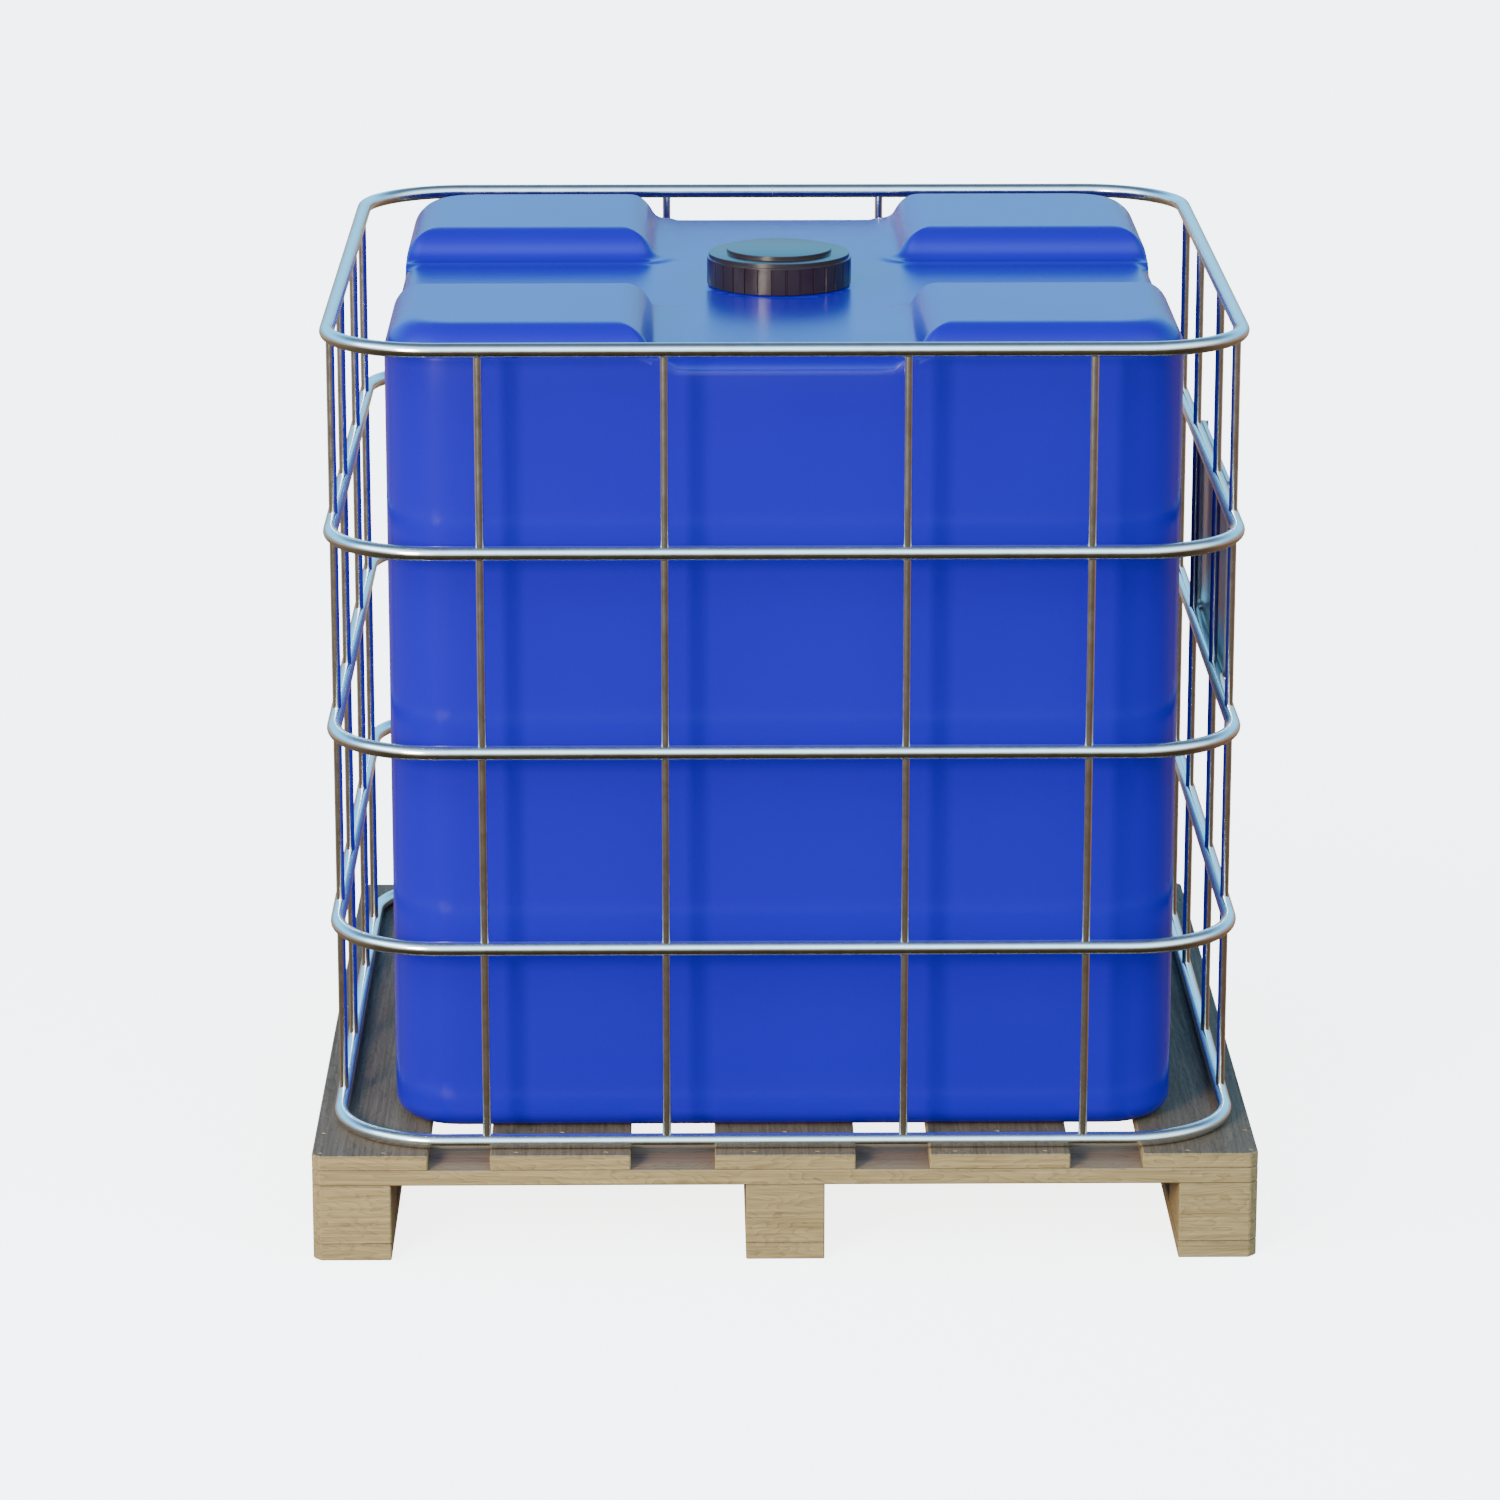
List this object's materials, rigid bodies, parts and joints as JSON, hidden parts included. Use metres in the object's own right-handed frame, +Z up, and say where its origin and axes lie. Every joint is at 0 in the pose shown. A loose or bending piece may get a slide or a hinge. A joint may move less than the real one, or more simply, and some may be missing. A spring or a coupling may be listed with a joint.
{
  "type": "intermediate bulk container",
  "caption": "Square liquid container: a blue plastic tank with a screw lid and a rear ball valve, in a cage of round hoops and bars on a wooden pallet.",
  "frame": {"origin": "centre of the pallet's underside, on the floor", "axes": "+Z up; -Y is the front, opposite the discharge valve; +X is to the right seen from the front, towards the identification plate"},
  "size_m": [1.2, 1.2, 1.1935],
  "materials": {
    "pallet_wood": "sawn softwood, lightly weathered",
    "nail_steel": "dull bright steel",
    "galvanised_tube": "zinc-coated, fairly glossy",
    "weld_metal": "dull",
    "zinc_screws": "zinc-plated",
    "plate_sheet": "galvanised sheet, blank",
    "blue_polyethylene": "satin, blow-moulded",
    "black_polyethylene": "satin, ribbed",
    "cap_plastic": "satin, ribbed",
    "seal_rubber": "matt",
    "valve_plastic": "satin",
    "seat_plastic": "smooth",
    "ball_plastic": "polished",
    "stem_plastic": "smooth",
    "lever_plastic": "satin red"
  },
  "bodies": {
    "container": {"block_centre_left": "pallet_wood", "block_centre_middle": "pallet_wood", "block_centre_right": "pallet_wood", "block_front_left": "pallet_wood", "block_front_middle": "pallet_wood", "block_front_right": "pallet_wood", "block_rear_left": "pallet_wood", "block_rear_middle": "pallet_wood", "block_rear_right": "pallet_wood", "bottom_board_left": "pallet_wood", "bottom_board_middle": "pallet_wood", "bottom_board_right": "pallet_wood", "bottom_nails": "nail_steel", "cage_screws": "zinc_screws", "cross_board_centre": "pallet_wood", "cross_board_front": "pallet_wood", "cross_board_rear": "pallet_wood", "deck_board_left_edge": "pallet_wood", "deck_board_left_inner": "pallet_wood", "deck_board_middle": "pallet_wood", "deck_board_right_edge": "pallet_wood", "deck_board_right_inner": "pallet_wood", "deck_nails": "nail_steel", "front_bar_1": "galvanised_tube", "front_bar_2": "galvanised_tube", "front_bar_3": "galvanised_tube", "front_bar_4": "galvanised_tube", "hoop_1": "galvanised_tube", "hoop_2": "galvanised_tube", "hoop_3": "galvanised_tube", "hoop_4": "galvanised_tube", "hoop_5": "galvanised_tube", "id_plate": "plate_sheet", "left_bar_1": "galvanised_tube", "left_bar_2": "galvanised_tube", "left_bar_3": "galvanised_tube", "left_bar_4": "galvanised_tube", "rear_bar_1": "galvanised_tube", "rear_bar_2": "galvanised_tube", "rear_bar_3": "galvanised_tube", "rear_bar_4": "galvanised_tube", "right_bar_1": "galvanised_tube", "right_bar_2": "galvanised_tube", "right_bar_3": "galvanised_tube", "right_bar_4": "galvanised_tube", "seam_welds": "weld_metal", "tank": "blue_polyethylene", "union_nut": "valve_plastic", "valve_body": "valve_plastic", "valve_gasket": "seal_rubber", "valve_seats": "seat_plastic", "valve_tail": "valve_plastic"},
    "lid_seal": {"lid_gasket": "seal_rubber"},
    "lid": {"lid": "black_polyethylene"},
    "valve_handle": {"valve_lever": "lever_plastic", "valve_ball": "ball_plastic", "valve_stem": "stem_plastic", "lever_screw": "zinc_screws"},
    "outlet_seal": {"outlet_gasket": "seal_rubber"},
    "outlet_cap": {"outlet_cap": "cap_plastic"}
  },
  "joints": [
    {"name": "lid_rise", "type": "slide", "parent": "container", "child": "lid_seal", "axis": [0, 0, 1], "range_m": [0, 0.018]},
    {"name": "lid_turn", "type": "hinge", "parent": "lid_seal", "child": "lid", "pos_m": [0, 0, 1.16], "axis": [0, 0, 1], "range_deg": [0, 1080]},
    {"name": "valve_turn", "type": "hinge", "parent": "container", "child": "valve_handle", "pos_m": [0, 0.49, 0.225], "axis": [0, 0, 1], "range_deg": [0, 90]},
    {"name": "cap_draw", "type": "slide", "parent": "container", "child": "outlet_seal", "axis": [0, 1, 0], "range_m": [0, 0.018]},
    {"name": "cap_turn", "type": "hinge", "parent": "outlet_seal", "child": "outlet_cap", "pos_m": [0, 0.55, 0.225], "axis": [0, 1, 0], "range_deg": [0, 1080]}
  ],
  "couplings": [
    {"joint": "lid_rise", "follows": "lid_turn", "m_per_rad": 0.00095492},
    {"joint": "cap_draw", "follows": "cap_turn", "m_per_rad": 0.00095492}
  ]
}
